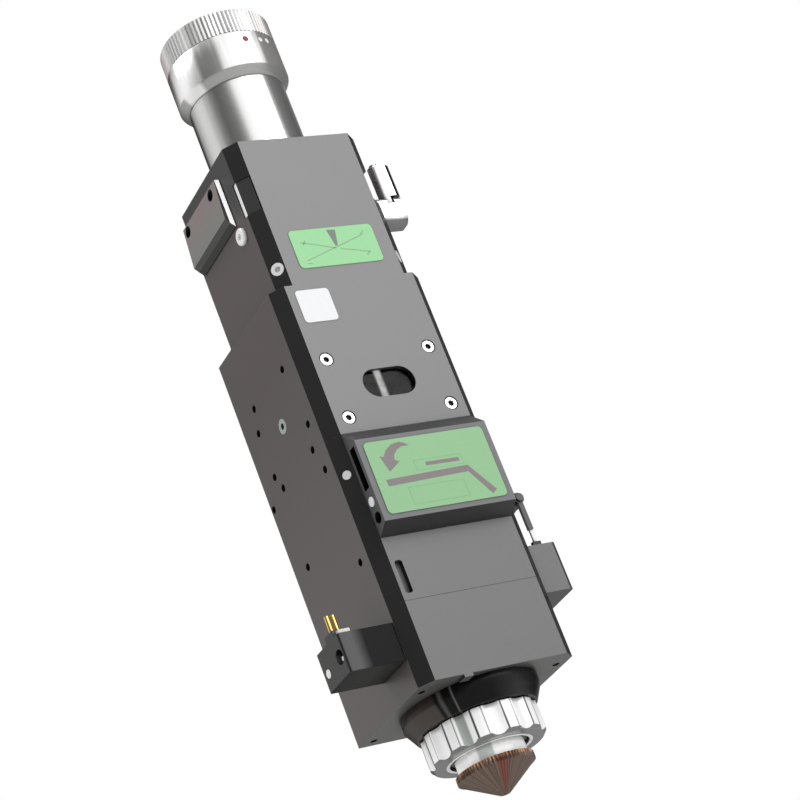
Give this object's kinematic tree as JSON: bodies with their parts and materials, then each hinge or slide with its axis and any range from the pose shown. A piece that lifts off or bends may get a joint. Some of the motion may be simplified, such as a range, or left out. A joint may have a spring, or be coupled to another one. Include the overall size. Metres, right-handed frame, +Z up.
{
  "type": "laser cutting head",
  "caption": "Slim autofocus head for sheet cutting: fibre socket and tube on top, two window drawers, height-sensing nozzle below.",
  "frame": {"origin": "the nozzle tip, on the beam axis", "axes": "+Z up along the beam axis to the fibre socket, +Y out of the mounting back, -Y the front plates, +X the protective window drawer"},
  "size_m": [0.1112, 0.074, 0.3586],
  "materials": {
    "black_anodised": "black anodised, fine bead-blasted satin",
    "grey_plate": "dark grey anodised front plates, satin with a soft sheen",
    "dark_plastic": "black moulded plastic, fine texture",
    "green_label": "printed polyester film, light green",
    "white_label": "plain white polyester film",
    "lamp": "milky light pipe",
    "glass": "coated optical glass",
    "polished_steel": "polished stainless steel",
    "steel": "turned and ground steel",
    "dark_steel": "blackened steel screws",
    "brass": "turned brass",
    "gold": "gold-plated contact pins",
    "copper": "turned copper, slightly tarnished",
    "ceramic": "dense white alumina",
    "rubber": "black seal rubber"
  },
  "bodies": {
    "head": {"main_body": "black_anodised", "upper_body": "black_anodised", "front_plate": "grey_plate", "mid_front_cover": "grey_plate", "lower_front_cover": "grey_plate", "raised_cover": "grey_plate", "back_cover": "black_anodised", "cover_screws": "steel", "focus_window": "glass", "upper_label": "green_label", "blank_label": "white_label", "cover_label": "green_label", "status_lamp": "lamp", "side_screws": "steel", "channel_plugs": "steel", "collimator_tube": "black_anodised", "fibre_socket": "black_anodised", "lock_ring_circlip": "steel", "guide_rods": "steel", "focus_motor": "steel", "motor_connector": "dark_plastic", "strip_screw": "polished_steel", "flag_base": "polished_steel", "flag_pin": "polished_steel", "catch_bracket": "black_anodised", "catch_pin": "polished_steel", "bracket_screws": "dark_steel", "connector_box": "dark_plastic", "connector_pins": "gold", "socket_insert": "white_label", "connector_screw": "steel", "sensor_body": "black_anodised"},
    "fibre_ring": {"fibre_lock_ring": "black_anodised"},
    "left_screw": {"left_centring_screw": "steel"},
    "right_screw": {"right_centring_screw": "steel"},
    "centring_frame": {"centring_frame": "black_anodised"},
    "collimator": {"collimator_cell": "black_anodised", "collimator_lens": "glass"},
    "drive_screw": {"lead_screw": "steel"},
    "focus_unit": {"focus_carriage": "black_anodised", "focus_nut": "brass", "index_screw": "steel", "focus_lens": "glass", "focus_lens_ring": "brass"},
    "upper_window_drawer": {"upper_drawer": "black_anodised", "drawer_plate": "polished_steel", "upper_window": "glass"},
    "drawer_lock_bar": {"lock_bar": "black_anodised"},
    "flag": {"flag_lever": "polished_steel"},
    "window_drawer": {"window_tray": "black_anodised", "drawer_handle": "black_anodised", "handle_screws": "dark_steel", "window_seal": "rubber", "protective_window": "glass", "window_retainer": "brass"},
    "catch": {"catch_lever": "steel"},
    "nozzle_unit": {"ceramic_ring": "ceramic", "nozzle_holder": "steel", "nozzle": "copper"},
    "nozzle_nut": {"lock_nut": "polished_steel"}
  },
  "joints": [
    {"name": "fibre_ring_turn", "type": "hinge", "parent": "head", "child": "fibre_ring", "pos_m": [0, 0, 0.352], "axis": [0, 0, 1], "range_deg": [0, 50]},
    {"name": "left_centring_screw_turn", "type": "hinge", "parent": "head", "child": "left_screw", "pos_m": [-0.0289, -0.0289, 0.2258], "axis": [0.7071, 0.7071, 0], "range_deg": [-180, 180]},
    {"name": "centring_frame_slide", "type": "slide", "parent": "head", "child": "centring_frame", "axis": [0.7071, 0.7071, 0], "range_m": [-0.00025, 0.00025]},
    {"name": "right_centring_screw_turn", "type": "hinge", "parent": "centring_frame", "child": "right_screw", "pos_m": [0.0289, -0.0289, 0.2258], "axis": [-0.7071, 0.7071, 0], "range_deg": [-180, 180]},
    {"name": "collimator_slide", "type": "slide", "parent": "centring_frame", "child": "collimator", "axis": [-0.7071, 0.7071, 0], "range_m": [-0.00025, 0.00025]},
    {"name": "lead_screw_turn", "type": "hinge", "parent": "head", "child": "drive_screw", "pos_m": [0.0165, 0.021, 0.16], "axis": [0, 0, 1], "range_deg": [-1440, 1440]},
    {"name": "focus_slide", "type": "slide", "parent": "head", "child": "focus_unit", "axis": [0, 0, 1], "range_m": [-0.008, 0.008]},
    {"name": "upper_drawer_slide", "type": "slide", "parent": "head", "child": "upper_window_drawer", "axis": [-1, 0, 0], "range_m": [0, 0.045]},
    {"name": "flag_turn", "type": "hinge", "parent": "head", "child": "flag", "pos_m": [0.039, -0.0212, 0.26615], "axis": [0, 0, 1], "range_deg": [0, 90]},
    {"name": "lock_bar_slide", "type": "slide", "parent": "head", "child": "drawer_lock_bar", "axis": [-1, 0, 0], "range_m": [0, 0.001]},
    {"name": "window_drawer_slide", "type": "slide", "parent": "head", "child": "window_drawer", "axis": [1, 0, 0], "range_m": [0, 0.06]},
    {"name": "catch_turn", "type": "hinge", "parent": "head", "child": "catch", "pos_m": [0.0427, -0.0221, 0.1118], "axis": [0, -1, 0], "range_deg": [0, 75]},
    {"name": "nozzle_unit_slide", "type": "slide", "parent": "head", "child": "nozzle_unit", "axis": [0, 0, -1], "range_m": [0, 0.003]},
    {"name": "lock_nut_turn", "type": "hinge", "parent": "nozzle_unit", "child": "nozzle_nut", "pos_m": [0, 0, 0.0235], "axis": [0, 0, -1], "range_deg": [0, 720]}
  ],
  "couplings": [
    {"joint": "left_centring_screw_turn", "follows": "centring_frame_slide", "rad_per_m": 12566},
    {"joint": "right_centring_screw_turn", "follows": "collimator_slide", "rad_per_m": 12566},
    {"joint": "lead_screw_turn", "follows": "focus_slide", "rad_per_m": 3141.6},
    {"joint": "flag_turn", "follows": "lock_bar_slide", "rad_per_m": 1570.8},
    {"joint": "lock_nut_turn", "follows": "nozzle_unit_slide", "rad_per_m": 4188.8}
  ]
}
